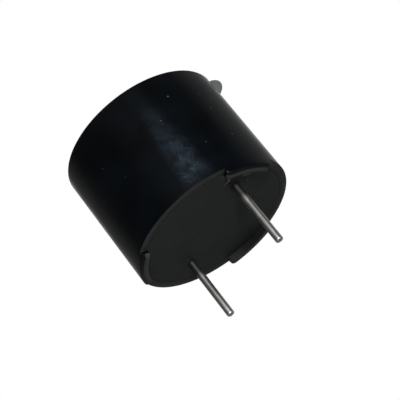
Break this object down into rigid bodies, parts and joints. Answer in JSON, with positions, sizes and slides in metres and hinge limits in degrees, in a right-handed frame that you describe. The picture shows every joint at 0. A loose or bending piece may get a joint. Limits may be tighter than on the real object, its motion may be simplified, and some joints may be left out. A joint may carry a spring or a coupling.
{
  "type": "piezo buzzer",
  "caption": "Round black buzzer with two solder pins, rim feet, a top sound hole under a pull-tab seal, and a driven piezo disc inside.",
  "frame": {"origin": "centre of the seating plane, on which the rim feet stand on a circuit card, midway between the pins", "axes": "+Z towards the sound side, +X from the shorter negative pin to the longer positive pin"},
  "size_m": [0.012, 0.012, 0.0141],
  "materials": {
    "case_plastic": "satin black moulded plastic with fine handling marks",
    "base_plastic": "matte dark grey moulded plastic",
    "adhesive": "cured black glue",
    "tinned_pin": "drawn and tinned, slightly dull",
    "label_paper": "plain white film label",
    "brass_sheet": "rolled brass",
    "piezo_ceramic": "fired ceramic",
    "silver_print": "matt silver print",
    "silicone": "milky silicone bead",
    "board_laminate": "green laminate",
    "moulding_compound": "black moulding compound",
    "tinned_lead": "tinned metal",
    "resistor_ceramic": "dark glazed ceramic",
    "ferrite": "dark grey ferrite",
    "enamelled_copper": "copper wire under clear enamel",
    "red_insulation": "red insulation",
    "blue_insulation": "blue insulation",
    "black_insulation": "black insulation",
    "solder": "bright solder"
  },
  "bodies": {
    "root": {"case_shell": "case_plastic", "base_plate": "base_plastic", "base_adhesive": "adhesive", "terminal_pin_positive": "tinned_pin", "terminal_pin_negative": "tinned_pin", "sealing_label": "label_paper", "brass_disc": "brass_sheet", "piezo_ceramic": "piezo_ceramic", "main_electrode": "silver_print", "feedback_electrode": "silver_print", "silicone_ring": "silicone", "circuit_board": "board_laminate", "transistor_body": "moulding_compound", "transistor_leads": "tinned_lead", "bias_resistor": "resistor_ceramic", "bias_resistor_caps": "tinned_lead", "feedback_resistor": "resistor_ceramic", "feedback_resistor_caps": "tinned_lead", "output_resistor": "resistor_ceramic", "output_resistor_caps": "tinned_lead", "choke_core": "ferrite", "choke_winding": "enamelled_copper", "choke_legs": "tinned_lead", "main_wire": "red_insulation", "feedback_wire": "blue_insulation", "ground_wire": "black_insulation", "board_solder_joints": "solder", "element_solder_joints": "solder", "pin_solder_joints": "solder"}
  },
  "joints": []
}
